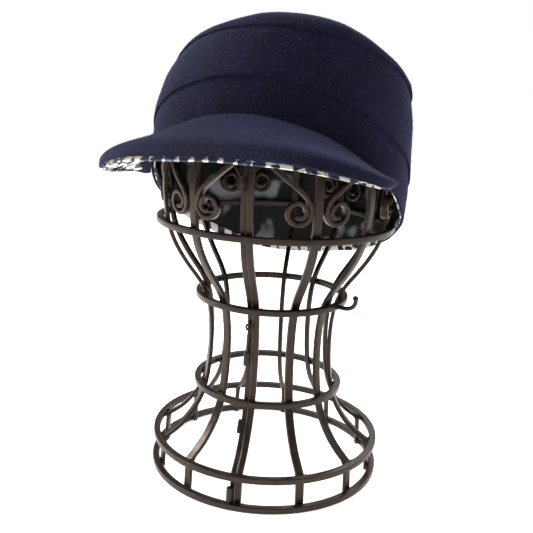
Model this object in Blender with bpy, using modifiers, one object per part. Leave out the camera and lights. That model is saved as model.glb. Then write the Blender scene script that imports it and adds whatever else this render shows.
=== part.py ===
"""A soft wool cap with a short peak, tipped back on a plain wire hat stand.

Run with: blender --background --python part.py
Metres, +Z up, the peak towards -Y, the stand resting on Z = 0.
"""
import math
from collections import namedtuple

import bmesh
import bpy
from mathutils import Vector

OBJECT_NAME = "cap_on_stand"

# Clearances
GAP = 0.0003                # between pieces that touch on the real thing
SEAM_GAP = 0.0005           # between two cloth edges that are sewn together
UNDER_GAP = 0.0010          # peak to its facing, which turns a tighter corner

# Cloth
WOOL = 0.0018               # wool melton of the crown, band and peak
LINING = 0.0010             # printed lining, checked facing
PEAK_BOARD = 0.0026         # wool with the stiff board that is bonded under it
PEAK_FACING = 0.0012        # checked cloth under the peak

# Cap
CAP_WIDTH = 0.192           # rim, left to right
CAP_LENGTH = 0.1725         # rim, front to back, seen from above
CAP_HEIGHT = 0.0835         # rim to top seam, at the sides
RIM_ABOVE_BROW = 0.0122     # rim at the sides, above the stand's brow ring
CAP_SET_BACK = 0.00325      # middle of the rim behind the stand's axis
CAP_SET_SIDE = -0.002       # middle of the rim beside the stand's axis
CROWN_LEAN = 0.0072         # how far the top seam leans to +X
SIDE_RAISE = 0.0035         # rim's +X side above its middle
TOP_SIDE_RAISE = 0.0058     # top seam's +X side above its middle
FRONT_ARCH = 0.014          # how far the rim is arched up over the peak
ARCH_HALF_ANGLE = 100.0     # degrees from the front where that arch ends
FACING_WIDTH = 0.006        # checked facing inside the rim
TOP_DOME = 0.007            # rise of the top over its seam
TOP_PUFF = 0.0097           # extra roll of the top's front edge
PUFF_TURN = 26.0            # degrees from the front to where that roll is fullest

# Peak
PEAK_HALF_ANGLE = 71.0      # degrees of rim on each side of the front
PEAK_CREST_WIDTH = 0.2172   # across the crest, where the peak turns down
PEAK_EDGE_WIDTH = 0.2105
PEAK_CREST_REACH = 0.0459   # crest in front of the seam
PEAK_EDGE_REACH = 0.0540    # edge in front of the seam
PEAK_CREST_DROP = 0.0146    # crest below the seam, at the front
PEAK_LIP = 0.0090           # edge below the crest, at the front
PEAK_SIDE_LIP = 0.0036      # the same at the sides
PEAK_SIDE_DROP = 0.0307     # how much lower the crest is at its sides
PEAK_SIDE_CURVE = 1.9       # more keeps the front flatter and drops the sides later
PEAK_TILT = 0.0035          # how far the peak's +X side is raised above its middle
PEAK_HOLLOW = 0.0015        # how far the upper side is bowed down
PEAK_SQUARENESS = 2.74      # 2 is an ellipse seen from above, more is squarer
PEAK_END_WIDTH = 0.30       # share of the width that is left at the corners
FACING_SHOWS = 0.0020       # how far the facing shows below the wool edge

# Stand
RING_WIDTH = 0.005          # ring bar, towards the axis
RING_HEIGHT = 0.0044
RIB_WIDTH = 0.006
RIB_THICK = 0.003
ARM_WIDTH = 0.005           # scroll strip, towards the axis
ARM_THICK = 0.0024
BASE_RING_R = 0.0863        # rings, to the middle of the bar
BASE_TOP_R = 0.0853
NECK_RING_R = 0.0541
WAIST_R = 0.0463            # ribs at the waist, to the middle of the bar
BASE_TOP_Z = 0.024
BROW_SPARE = 0.0008         # room for the ribs' lean under the brow ring
NECK_LOW_Z = 0.0658
NECK_UP_Z = 0.1349
BROW_Z = 0.1913
DOME_EQUATOR_RISE = 0.031   # widest place of the dome above the brow ring
DOME_SIDE_CLEAR = 0.0015    # dome to the lining, at the sides
STAND_TURN = 10.0           # degrees that the first rib is turned from the front
RIB_COUNT = 12
BOSS_R = 0.016
BOSS_THICK = 0.004
CURL_R = 0.0090             # scroll, to the middle of the strip
CURL_ABOVE_BROW = 0.0186
CURL_TURN = 476.0           # degrees
CURL_WINDS_IN = 0.66        # share of its radius that the curl loses
CURL_STEPS = 13
ARCH_TOP_ABOVE_BROW = 0.0515
HOOK_WIRE_D = 0.0034
HOOK_REACH = 0.0095
HOOK_DROP = 0.0035          # below the middle of its ring
HOOK_RISE = 0.0045          # its end above the middle of its ring
HOOK_ANGLE = 78.0
HINGE_BAR_WIDTH = 0.0035    # second bar beside the front rib
HINGE_BAR_SET_IN = 0.0006   # its outer side behind the rib's
HINGE_BAR_END_R = 0.040     # where it ends, towards the boss
BARREL_D = 0.0048
BARREL_LENGTH = 0.010
BARREL_SEAT = 0.0007        # barrel to bar, over the bar's slight curve
BARREL_SHARE = 0.15         # of its own width, further to the side than the bar
BARREL_HEIGHTS = (0.006, 0.043, 0.093, 0.116, 0.221)

# Mesh
AROUND = 36                 # columns round the cap
ACROSS_PEAK = 28            # columns across the peak
UNDER_SPARE = 3             # columns at each corner that the facing leaves free
RING_SEGMENTS = 36
DOME_STEPS = 6

# A level line round the cap. rise is a share of CAP_HEIGHT, width of half CAP_WIDTH,
# and front, back, front_rise and back_drop of half CAP_LENGTH.
Section = namedtuple("Section", "rise width front back front_rise back_drop")
RIM = Section(0.0, 1.0, 1.0, 1.0, 0.632, 0.597)
BAND_MIDDLE = Section(0.198, 1.003, 0.965, 1.030, 0.660, 0.568)
CREASE = Section(0.377, 0.988, 0.936, 1.033, 0.693, 0.545)
CROWN_LOW = Section(0.581, 0.980, 0.930, 1.036, 0.614, 0.522)
CROWN_MIDDLE = Section(0.796, 0.950, 0.907, 1.026, 0.533, 0.464)
TOP_SEAM = Section(1.0, 0.881, 0.849, 0.936, 0.452, 0.406)
SECTIONS = (RIM, BAND_MIDDLE, CREASE, CROWN_LOW, CROWN_MIDDLE, TOP_SEAM)

# A line round the top. share is of the way out to the seam, puff of TOP_PUFF.
TopLine = namedtuple("TopLine", "share puff")
TOP_SEAM_LINE = TopLine(1.0, 0.0)
TOP_LINES = (
    TopLine(0.995, 0.35),
    TopLine(0.965, 0.75),
    TopLine(0.920, 1.00),
    TopLine(0.840, 0.95),
    TopLine(0.680, 0.60),
    TopLine(0.420, 0.20),
)
LINING_TOP_LINES = (
    TopLine(0.900, 0.0),
    TopLine(0.550, 0.0),
)

# Derived sizes
WALL = WOOL + GAP + LINING
RIM_Z = BROW_Z + RIM_ABOVE_BROW
BACK_INSIDE = CAP_SET_BACK + CREASE.back * CAP_LENGTH / 2 - WALL
SIDE_INSIDE = CROWN_LOW.width * CAP_WIDTH / 2 - abs(CAP_SET_SIDE) - WALL
RIM_SIDE_INSIDE = RIM.width * CAP_WIDTH / 2 - abs(CAP_SET_SIDE) - WALL
BROW_RING_R = min(BACK_INSIDE, RIM_SIDE_INSIDE) - GAP - RING_WIDTH / 2
RING_SEAT = GAP + RIB_WIDTH / 2 * math.tan(math.pi / RING_SEGMENTS)
RING_TO_RIB = RING_WIDTH / 2 + RING_SEAT + RIB_THICK / 2
DOME_R = min(BROW_RING_R, SIDE_INSIDE - DOME_SIDE_CLEAR) - ARM_WIDTH / 2
EQUATOR_Z = BROW_Z + DOME_EQUATOR_RISE
ARCH_SPAN = 360.0 / RIB_COUNT


def clear_scene():
    """Remove what the file opened with."""
    for item in list(bpy.data.objects):
        bpy.data.objects.remove(item, do_unlink=True)


def material(name, color, roughness, metallic=0.0):
    """A Principled material with one colour."""
    made = bpy.data.materials.new(name)
    made.use_nodes = True
    shader = made.node_tree.nodes["Principled BSDF"]
    shader.inputs["Base Color"].default_value = (*color, 1.0)
    shader.inputs["Roughness"].default_value = roughness
    shader.inputs["Metallic"].default_value = metallic
    return made


def part_from_mesh(name, mesh, finish):
    """Wrap a mesh in an object of the part's collection, under its root."""
    made = bpy.data.objects.new(name, mesh)
    mesh.materials.append(finish)
    PARTS.objects.link(made)
    made.parent = ROOT
    return made


def sheet(name, rows, closed, pole, thickness, finish):
    """A cloth or strip of even thickness from rows of points.

    Rows run upwards and columns to the right, seen from outside. The wall grows inwards.
    """
    mesh = bpy.data.meshes.new(name)
    work = bmesh.new()
    grid = [[work.verts.new(point) for point in row] for row in rows]
    columns = len(rows[0])
    steps = columns if closed else columns - 1
    for low, high in zip(grid, grid[1:]):
        for i in range(steps):
            j = (i + 1) % columns
            work.faces.new((low[i], low[j], high[j], high[i]))
    if pole is not None:
        tip = work.verts.new(pole)
        for i in range(steps):
            work.faces.new((grid[-1][i], grid[-1][(i + 1) % columns], tip))
    work.to_mesh(mesh)
    work.free()
    mesh.shade_smooth()
    made = part_from_mesh(name, mesh, finish)
    wall = made.modifiers.new("wall", "SOLIDIFY")
    wall.thickness = thickness
    wall.offset = -1.0
    return made


def inset(rows, depth, closed):
    """Move each point of a grid of rows inwards along the surface's normal."""
    columns = len(rows[0])
    moved = []
    for r, row in enumerate(rows):
        below, above = rows[max(r - 1, 0)], rows[min(r + 1, len(rows) - 1)]
        line = []
        for c, point in enumerate(row):
            left = (c - 1) % columns if closed else max(c - 1, 0)
            right = (c + 1) % columns if closed else min(c + 1, columns - 1)
            normal = (row[right] - row[left]).cross(above[c] - below[c]).normalized()
            line.append(point - normal * depth)
        moved.append(line)
    return moved


def section_at(rise):
    """The cap's section at a share of its height."""
    for low, high in zip(SECTIONS, SECTIONS[1:]):
        if rise <= high.rise:
            break
    t = (rise - low.rise) / (high.rise - low.rise)
    return Section(*(a + (b - a) * t for a, b in zip(low, high)))


def cap_point(section, degrees):
    """A point of the wall's outer side, counted from the front towards +X."""
    angle = math.radians(degrees)
    c, s = math.cos(angle), math.sin(angle)
    half = CAP_LENGTH / 2
    x = CAP_SET_SIDE + CROWN_LEAN * section.rise ** 2 + section.width * CAP_WIDTH / 2 * s
    middle = (section.back - section.front) / 2
    y = CAP_SET_BACK + half * (middle - (section.front + section.back) / 2 * c)
    slope = (section.front_rise + section.back_drop) / 2
    bend = (section.front_rise - section.back_drop) / 2
    raised = SIDE_RAISE + (TOP_SIDE_RAISE - SIDE_RAISE) * section.rise ** 2
    z = RIM_Z + section.rise * CAP_HEIGHT + raised * s + half * (slope * c + bend * c * c)
    return Vector((x, y, z))


def wall_point(rise, degrees):
    """A point of the wall, with the rim arched up over the peak."""
    section = section_at(rise)
    fade = max(0.0, 1.0 - rise / CREASE.rise)
    turned = min(abs((degrees + 180.0) % 360.0 - 180.0) / ARCH_HALF_ANGLE, 1.0)
    lift = FRONT_ARCH * fade * math.cos(turned * math.pi / 2) ** 2
    tilt = math.atan2(RIM.front_rise + RIM.back_drop, RIM.front + RIM.back)
    return cap_point(section, degrees) + lift * Vector((0.0, math.sin(tilt), math.cos(tilt)))


def round_cap():
    """The angles of the columns round the cap."""
    return [360.0 * i / AROUND for i in range(AROUND)]


def wall_rows(rises):
    """Rows of the wall at shares of the cap's height."""
    return [[wall_point(rise, degrees) for degrees in round_cap()] for rise in rises]


def top_frame():
    """The middle of the top seam, and the direction that the top faces."""
    front, back = cap_point(TOP_SEAM, 0.0), cap_point(TOP_SEAM, 180.0)
    facing = Vector((1.0, 0.0, 0.0)).cross(back - front).normalized()
    return (front + back) / 2, facing


def top_point(line, degrees, depth=0.0):
    """A point of the domed top, depth below its outer side."""
    middle, facing = top_frame()
    seam = cap_point(TOP_SEAM, degrees)
    fullness = 0.13 + 0.87 * ((1.0 + math.cos(math.radians(degrees - PUFF_TURN))) / 2) ** 6
    rise = TOP_DOME * (1.0 - line.share ** 2) + TOP_PUFF * line.puff * fullness - depth
    return middle + (seam - middle) * line.share + facing * rise


def lining_rows():
    """The lining's outer side, from over the rim facing to the middle of the top."""
    start = (FACING_WIDTH + SEAM_GAP) / CAP_HEIGHT
    rises = [start, BAND_MIDDLE.rise + 0.03, CREASE.rise, CROWN_LOW.rise, CROWN_MIDDLE.rise]
    depth = WOOL + GAP
    turn = [top_point(TOP_SEAM_LINE, a, WALL) for a in round_cap()]
    rows = inset(wall_rows(rises) + [turn], depth, True)
    return rows + [[top_point(line, a, depth) for a in round_cap()] for line in LINING_TOP_LINES]


def build_crown(wool, print_cloth):
    """The top, the upper tier, and the lining that follows both."""
    middle, facing = top_frame()
    seam_row = [top_point(TOP_SEAM_LINE, a, WOOL) for a in round_cap()]
    top_rows = [seam_row] + [[top_point(line, a) for a in round_cap()] for line in TOP_LINES]
    sheet("crown_top", top_rows, True, middle + facing * TOP_DOME, WOOL, wool)

    edge = SEAM_GAP / 2 / CAP_HEIGHT
    side = wall_rows([CREASE.rise + edge, CROWN_LOW.rise, CROWN_MIDDLE.rise])
    side.append([top_point(TOP_SEAM_LINE, a, WOOL + SEAM_GAP) for a in round_cap()])
    sheet("crown_side", side, True, None, WOOL, wool)

    tip = middle + facing * (TOP_DOME - WOOL - GAP)
    sheet("lining", lining_rows(), True, tip, LINING, print_cloth)


def build_band(wool, check):
    """The lower tier, and the checked facing inside its rim."""
    edge = SEAM_GAP / 2 / CAP_HEIGHT
    sheet("band", wall_rows([0.0, BAND_MIDDLE.rise, CREASE.rise - edge]), True, None, WOOL, wool)
    rises = [0.0, FACING_WIDTH / CAP_HEIGHT]
    facing = inset(wall_rows(rises), WOOL + GAP, True)
    sheet("rim_facing", facing, True, None, LINING, check)


def peak_line(turn, half_width, reach, front_drop, side_drop):
    """A point of the crest or the edge; turn runs from -90 to 90 across the peak."""
    seam_front = wall_point(0.0, 0.0)
    seam_end = wall_point(0.0, PEAK_HALF_ANGLE)
    angle = math.radians(turn)
    power = 2.0 / PEAK_SQUARENESS
    across = math.copysign(abs(math.sin(angle)) ** power, angle)
    ahead = max(math.cos(angle), 0.0) ** power
    y = seam_end.y + (seam_front.y - reach - seam_end.y) * ahead
    dropped = front_drop + side_drop * (1.0 - ahead ** PEAK_SIDE_CURVE)
    return Vector((half_width * across, y, seam_front.z - dropped + PEAK_TILT * across))


def peak_profile(turn):
    """The peak's outer side from its edge up to its seam."""
    seam = wall_point(0.0, PEAK_HALF_ANGLE * turn / 90.0)
    crest = peak_line(turn, PEAK_CREST_WIDTH / 2, PEAK_CREST_REACH, PEAK_CREST_DROP, PEAK_SIDE_DROP)
    edge = peak_line(turn, PEAK_EDGE_WIDTH / 2, PEAK_EDGE_REACH, PEAK_CREST_DROP + PEAK_LIP,
                     PEAK_SIDE_DROP + PEAK_SIDE_LIP - PEAK_LIP)
    width = 1.0 - (1.0 - PEAK_END_WIDTH) * max(0.0, (abs(turn) - 66.0) / 20.0) ** 2
    crest = seam + (crest - seam) * width
    edge = seam + (edge - seam) * width
    out = (crest - seam).normalized()
    start = seam + out * SEAM_GAP
    bow = (start + crest) / 2 - Vector((0.0, 0.0, 2.0 * PEAK_HOLLOW * width))

    def along(t):
        return start * (1 - t) ** 2 + bow * 2 * t * (1 - t) + crest * t * t

    lip = edge - crest
    return [edge, crest + lip * 0.6, crest + lip * 0.22, along(0.9), along(0.62), along(0.3), start]


def build_peak(wool, check):
    """The stiff peak and the checked cloth that faces it."""
    turns = [-86.0 + 172.0 * i / ACROSS_PEAK for i in range(ACROSS_PEAK + 1)]
    profiles = [peak_profile(turn) for turn in turns]
    rows = [list(row) for row in zip(*profiles)]
    sheet("peak_top", rows, False, None, PEAK_BOARD, wool)
    down = [(low - high).normalized() * FACING_SHOWS for low, high in zip(rows[0], rows[1])]
    shown = [point + step for point, step in zip(rows[0], down)]
    inner = [row[UNDER_SPARE:-UNDER_SPARE] for row in [shown] + rows[:1] + rows[3:]]
    under = inset(inner, PEAK_BOARD + UNDER_GAP, False)
    sheet("peak_under", under, False, None, PEAK_FACING, check)


def smooth_path(stations, steps):
    """Points along a smooth curve through the stations, steps to each stretch."""
    ends = [stations[0] * 2 - stations[1], *stations, stations[-1] * 2 - stations[-2]]
    path = []
    for a, b, c, d in zip(ends, ends[1:], ends[2:], ends[3:]):
        for i in range(steps):
            t = i / steps
            path.append(0.5 * ((2 * b) + (c - a) * t + (2 * a - 5 * b + 4 * c - d) * t ** 2
                               + (3 * b - a - 3 * c + d) * t ** 3))
    path.append(stations[-1].copy())
    return path


def dome_rise():
    """The height of the stand's dome, as much as the lining over it lets it have."""
    room = LINING + GAP + RIB_THICK / 2
    rows = lining_rows()
    most = []
    for low, high in zip(rows, rows[1:]):
        for a, b in zip(low, high):
            for share in (0.0, 0.25, 0.5, 0.75, 1.0):
                point = a.lerp(b, share)
                radius = math.hypot(point.x, point.y)
                if radius < DOME_R * 0.95 and point.z > EQUATOR_Z:
                    lean = math.sqrt(1.0 - (radius / DOME_R) ** 2)
                    most.append((point.z - EQUATOR_Z - room / lean) / lean)
    return min(most)


def dome_points(rise, end_radius):
    """A rib's middle line over the dome, from its widest place to an inner radius."""
    end = math.acos(end_radius / DOME_R)
    angles = [end * i / DOME_STEPS for i in range(1, DOME_STEPS + 1)]
    return [Vector((DOME_R * math.cos(a), EQUATOR_Z + rise * math.sin(a))) for a in angles]


def rib_path(rise):
    """A rib's middle line as radius and height, from the floor to the top boss."""
    post, post_top = BASE_RING_R - RING_TO_RIB, BASE_TOP_R - RING_TO_RIB
    neck, brow = NECK_RING_R - RING_TO_RIB, BROW_RING_R - RING_TO_RIB - BROW_SPARE

    def flare(low, high, r_share, z_share):
        return Vector((low[0] + (high[0] - low[0]) * r_share, low[1] + (high[1] - low[1]) * z_share))

    low_ring, neck_low = (post_top, BASE_TOP_Z), (neck, NECK_LOW_Z)
    neck_up, brow_ring = (neck, NECK_UP_Z), (brow, BROW_Z)
    stations = [
        Vector(low_ring),
        flare(low_ring, neck_low, 0.40, 0.22),
        flare(low_ring, neck_low, 0.75, 0.55),
        Vector(neck_low),
        Vector((WAIST_R, (NECK_LOW_Z + NECK_UP_Z) / 2)),
        Vector(neck_up),
        flare(neck_up, brow_ring, 0.45, 0.374),
        flare(neck_up, brow_ring, 0.79, 0.675),
        Vector(brow_ring),
        Vector((DOME_R, EQUATOR_Z)),
    ]
    path = [Vector((post, GAP))] + smooth_path(stations, 2)
    dome = dome_points(rise, BOSS_R + GAP)
    last = dome[-1] - dome[-2]
    overhang = RIB_THICK / 2 * last.y / last.length
    return path + dome_points(rise, BOSS_R + GAP + overhang)


def rib_radius(path, z):
    """The rib's radius at a height below the dome's top."""
    for low, high in zip(path, path[1:]):
        if low.y <= z <= high.y:
            return low.x + (high.x - low.x) * (z - low.y) / (high.y - low.y)
    return path[-1].x


def rib_outside(path, low, high):
    """The greatest radius of the rib's outer side between two heights."""
    steps, reach = 8, 0.001
    found = []
    for i in range(steps + 1):
        z = low + (high - low) * i / steps
        slope = (rib_radius(path, z + reach) - rib_radius(path, max(z - reach, path[0].y))) / (2 * reach)
        found.append(rib_radius(path, max(z, path[0].y)) + RIB_THICK / 2 * math.hypot(1.0, slope))
    return max(found)


def before_rib(path, z, distance):
    """A point at a distance outside the rib's middle line."""
    reach = 0.001
    slope = (rib_radius(path, z + reach) - rib_radius(path, z - reach)) / (2 * reach)
    outwards = Vector((1.0, -slope)).normalized()
    return Vector((rib_radius(path, z), z)) + outwards * distance


def on_stand(radius, degrees, z):
    """A point at a radius and an angle round the stand's axis."""
    angle = math.radians(degrees)
    return Vector((radius * math.sin(angle), -radius * math.cos(angle), z))


def turned(name, outline, segments, finish):
    """A body turned round the stand's axis from an outline of radius and height."""
    mesh = bpy.data.meshes.new(name)
    mesh.from_pydata([(r, 0.0, z) for r, z in outline], [(i, i + 1) for i in range(len(outline) - 1)], [])
    made = part_from_mesh(name, mesh, finish)
    made.rotation_euler.z = math.radians(STAND_TURN - 90.0)
    screw = made.modifiers.new("turn", "SCREW")
    screw.axis = "Z"
    screw.steps = segments
    screw.render_steps = segments
    screw.use_merge_vertices = True
    screw.merge_threshold = 0.0001
    return made


def ring(name, path, low, finish):
    """A flat ring outside the ribs, seated on them, from its lower side up."""
    high = low + RING_HEIGHT
    inner = rib_outside(path, low, high) + RING_SEAT
    outer = inner + RING_WIDTH
    outline = [(inner, high), (outer, high), (outer, low), (inner, low), (inner, high)]
    turned(name, outline, RING_SEGMENTS, finish)


def bar(name, path, degrees, width, shift, finish):
    """A flat bar that stands on the path, turned round the axis and shifted beside it."""
    angle = math.radians(degrees)
    along = Vector((math.cos(angle), math.sin(angle), 0.0))
    rows = []
    for station in path:
        middle = on_stand(station.x, degrees, station.y)
        rows.append([middle + along * (shift - width / 2), middle + along * (shift + width / 2)])
    made = sheet(name, rows, False, None, RIB_THICK, finish)
    made.modifiers["wall"].offset = 0.0
    return made


def arm_path(start_beside):
    """Half an arch as degrees from its middle rib and height: an arm, then its curl."""
    per_metre = math.degrees(1.0 / DOME_R)
    beside_rib = RIB_WIDTH / 2 + GAP + ARM_THICK / 2
    curl_middle = ARCH_SPAN - (beside_rib + CURL_R) * per_metre
    curl_z = BROW_Z + CURL_ABOVE_BROW
    top_z = BROW_Z + ARCH_TOP_ABOVE_BROW
    start = (beside_rib + start_beside + ARM_THICK / 2) * per_metre
    span, drop = curl_middle + CURL_R * per_metre - start, top_z - curl_z
    stations = [Vector((start, top_z)),
                Vector((start + span * 0.28, top_z - drop * 0.22)),
                Vector((start + span * 0.64, top_z - drop * 0.50)),
                Vector((start + span * 0.91, top_z - drop * 0.74)),
                Vector((start + span, curl_z))]
    path = smooth_path(stations, 2)
    for i in range(1, CURL_STEPS + 1):
        turn = math.radians(-CURL_TURN * i / CURL_STEPS)
        radius = CURL_R * (1.0 - CURL_WINDS_IN * (i / CURL_STEPS) ** 1.6)
        path.append(Vector((curl_middle + radius * math.cos(turn) * per_metre,
                            curl_z + radius * math.sin(turn))))
    return path


def arm(name, ribs, middle_degrees, side, start_beside, finish):
    """One scrolled half of an arch; side is 1 towards +X seen from the front, or -1."""
    rows = []
    for station in arm_path(start_beside):
        degrees = middle_degrees + side * station.x
        radius = rib_radius(ribs, station.y)
        rows.append([on_stand(radius - side * ARM_WIDTH / 2, degrees, station.y),
                     on_stand(radius + side * ARM_WIDTH / 2, degrees, station.y)])
    made = sheet(name, rows, False, None, ARM_THICK, finish)
    made.modifiers["wall"].offset = 0.0
    return made


def boss(path, finish):
    """The turned button where the ribs meet."""
    top = path[-1].y + RIB_THICK / 2
    outline = [(0.0, top + BOSS_THICK * 0.45), (BOSS_R * 0.6, top + BOSS_THICK * 0.3),
               (BOSS_R, top), (BOSS_R, top - BOSS_THICK), (0.0, top - BOSS_THICK)]
    turned("top_boss", outline, 24, finish)


def side_hook(path, finish):
    """The hook that hangs from the side of the upper neck ring and turns up."""
    low = NECK_UP_Z - RING_HEIGHT / 2
    ring_outside = rib_outside(path, low, low + RING_HEIGHT) + RING_SEAT + RING_WIDTH
    start = ring_outside + GAP + HOOK_WIRE_D / 2
    stations = [Vector((start, 0.0)), Vector((start + HOOK_REACH * 0.25, -HOOK_DROP * 0.7)),
                Vector((start + HOOK_REACH * 0.55, -HOOK_DROP)),
                Vector((start + HOOK_REACH * 0.9, -HOOK_DROP * 0.3)),
                Vector((start + HOOK_REACH, HOOK_RISE))]
    points = smooth_path(stations, 2)
    curve = bpy.data.curves.new("side_hook", "CURVE")
    curve.dimensions = "3D"
    curve.bevel_depth = HOOK_WIRE_D / 2
    curve.bevel_resolution = 1
    curve.use_fill_caps = True
    line = curve.splines.new("POLY")
    line.points.add(len(points) - 1)
    for target, station in zip(line.points, points):
        target.co = (*on_stand(station.x, HOOK_ANGLE, NECK_UP_Z + station.y), 1.0)
    made = bpy.data.objects.new("side_hook", curve)
    curve.materials.append(finish)
    PARTS.objects.link(made)
    made.parent = ROOT


def hinge(path, iron):
    """The second bar beside the front rib, and the barrels on its outer edge."""
    shift = -(RIB_WIDTH / 2 + GAP + HINGE_BAR_WIDTH / 2)
    inner = [Vector((p.x - HINGE_BAR_SET_IN, p.y)) for p in path
             if p.x > HINGE_BAR_END_R or p.y < EQUATOR_Z]
    bar("hinge_bar", inner, STAND_TURN, HINGE_BAR_WIDTH, shift, iron)
    for i, height in enumerate(BARREL_HEIGHTS):
        barrel("hinge_barrel_%d" % i, inner, height, shift - HINGE_BAR_WIDTH / 2, iron)


def barrel(name, path, height, shift, finish):
    """A hinge barrel in front of the hinge bar's edge, along it."""
    out = RIB_THICK / 2 + BARREL_SEAT + BARREL_D / 2
    low = before_rib(path, height, out)
    high = before_rib(path, height + BARREL_LENGTH, out)
    beside = shift + BARREL_D * BARREL_SHARE
    angle = math.radians(STAND_TURN)
    along = Vector((math.cos(angle), math.sin(angle), 0.0))
    ends = [on_stand(p.x, STAND_TURN, p.y) + along * beside for p in (low, high)]
    bpy.ops.mesh.primitive_cylinder_add(vertices=10, radius=BARREL_D / 2, depth=BARREL_LENGTH)
    made = bpy.context.object
    made.name = name
    made.data.name = name
    made.data.materials.append(finish)
    made.data.shade_smooth()
    made.location = (ends[0] + ends[1]) / 2
    made.rotation_mode = "QUATERNION"
    made.rotation_quaternion = (ends[1] - ends[0]).to_track_quat("Z", "Y")
    for holder in list(made.users_collection):
        holder.objects.unlink(made)
    PARTS.objects.link(made)
    made.parent = ROOT


def build_stand(iron):
    """Rings, ribs, scrolled arches, boss, hook and hinge."""
    path = rib_path(dome_rise())
    half = RING_HEIGHT / 2
    rings = (("base_ring_low", 0.0), ("base_ring_up", BASE_TOP_Z - half),
             ("neck_ring_low", NECK_LOW_Z - half), ("neck_ring_up", NECK_UP_Z - half),
             ("brow_ring", BROW_Z - half))
    for name, low in rings:
        ring(name, path, low, iron)
    for i in range(RIB_COUNT):
        bar("rib_%02d" % i, path, STAND_TURN + ARCH_SPAN * i, RIB_WIDTH, 0.0, iron)
    for i in range(RIB_COUNT // 2):
        middle = STAND_TURN + 2 * ARCH_SPAN * i
        hinge_room = GAP + HINGE_BAR_WIDTH if i == 0 else 0.0
        arm("scroll_%d_left" % i, path, middle, -1, hinge_room, iron)
        arm("scroll_%d_right" % i, path, middle, 1, 0.0, iron)
    boss(path, iron)
    side_hook(path, iron)
    hinge(path, iron)


def centre_on_origin():
    """Move everything so that the middle of the box's underside is the origin."""
    bpy.context.view_layer.update()
    shapes = bpy.context.evaluated_depsgraph_get()
    corners = []
    for item in PARTS.objects:
        if item.type == "EMPTY":
            continue
        seen = item.evaluated_get(shapes)
        mesh = seen.to_mesh()
        corners += [seen.matrix_world @ vertex.co for vertex in mesh.vertices]
        seen.to_mesh_clear()
    low = Vector([min(c[k] for c in corners) for k in range(3)])
    high = Vector([max(c[k] for c in corners) for k in range(3)])
    ROOT.location = (-(low.x + high.x) / 2, -(low.y + high.y) / 2, -low.z)
    bpy.context.view_layer.update()


clear_scene()
PARTS = bpy.data.collections.new(OBJECT_NAME)
bpy.context.scene.collection.children.link(PARTS)
ROOT = bpy.data.objects.new(OBJECT_NAME + "_root", None)
PARTS.objects.link(ROOT)

WOOL_NAVY = material("navy_wool", (0.010, 0.010, 0.026), 0.95)
CHECK = material("checked_cotton", (0.40, 0.40, 0.42), 0.90)
PRINT = material("printed_lining", (0.035, 0.036, 0.040), 0.80)
IRON = material("bronzed_iron", (0.040, 0.030, 0.026), 0.45, 0.8)

build_crown(WOOL_NAVY, PRINT)
build_band(WOOL_NAVY, CHECK)
build_peak(WOOL_NAVY, CHECK)
build_stand(IRON)
centre_on_origin()
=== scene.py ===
"""Looks for a soft wool cap with a short peak, tipped back on a wire hat stand.

Every piece starts as a copy of its CAD node, in metres and in the CAD model's own frame.
"""

import logging
import math
import random
from collections.abc import Callable
from dataclasses import dataclass
from enum import Enum

import bmesh
import bpy
from mathutils import Matrix, Vector, noise
from mathutils.bvhtree import BVHTree

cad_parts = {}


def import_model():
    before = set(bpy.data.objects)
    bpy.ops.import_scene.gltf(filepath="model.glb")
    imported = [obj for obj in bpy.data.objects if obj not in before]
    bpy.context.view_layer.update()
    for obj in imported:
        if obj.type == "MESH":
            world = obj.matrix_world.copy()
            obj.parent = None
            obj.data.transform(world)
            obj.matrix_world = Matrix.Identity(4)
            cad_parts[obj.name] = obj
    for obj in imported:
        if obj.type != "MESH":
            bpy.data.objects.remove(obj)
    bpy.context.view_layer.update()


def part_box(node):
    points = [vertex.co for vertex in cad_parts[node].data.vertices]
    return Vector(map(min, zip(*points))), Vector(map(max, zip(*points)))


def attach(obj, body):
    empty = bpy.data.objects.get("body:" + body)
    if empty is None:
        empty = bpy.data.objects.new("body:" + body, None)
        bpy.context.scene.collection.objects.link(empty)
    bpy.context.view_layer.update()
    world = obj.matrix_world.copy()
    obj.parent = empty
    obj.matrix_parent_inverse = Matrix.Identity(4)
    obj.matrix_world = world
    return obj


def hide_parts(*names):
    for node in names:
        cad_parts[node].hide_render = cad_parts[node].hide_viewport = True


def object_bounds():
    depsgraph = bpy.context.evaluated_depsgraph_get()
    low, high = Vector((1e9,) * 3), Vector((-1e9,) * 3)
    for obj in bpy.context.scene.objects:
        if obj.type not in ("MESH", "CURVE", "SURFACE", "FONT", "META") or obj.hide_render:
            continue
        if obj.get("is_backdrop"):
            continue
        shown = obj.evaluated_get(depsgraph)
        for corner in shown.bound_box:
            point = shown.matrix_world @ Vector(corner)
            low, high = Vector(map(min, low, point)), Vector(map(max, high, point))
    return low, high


LOG = logging.getLogger("cap_on_stand")
BODY = "root"
FULL_TURN = 360.0           # degrees
POINT_STEPS = 100000        # to the metre: corners that fall on the same step are one
MM = 0.001
NOISE_SEED = 4              # without one, Blender's vector noise starts from the clock
CLOTH_SEED = 3.1            # place in the noise, the same for cloths that lie on each other
CLOTH_LEVELS = 2            # subdivision of every cloth
RIM_EASE = 0.0005           # bevel along a cloth's cut rims
RIM_ANGLE = 55.0            # degrees of bend that count as such a rim
WEAR = "edge_wear"          # the mesh attribute that says where iron is rubbed

Slack = tuple[tuple[float, float], ...]     # wavelength and height of each noise, in metres
WOOL_SLACK: Slack = ((0.045, 0.0012), (0.016, 0.0004))
PEAK_SLACK: Slack = ((0.045, 0.0008), (0.016, 0.0003))
EDGE_SLACK: Slack = ((0.045, 0.0008), (0.006, 0.0005), (0.0025, 0.0004))
LINING_SLACK: Slack = ((0.045, 0.0012), (0.012, 0.0007))


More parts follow.
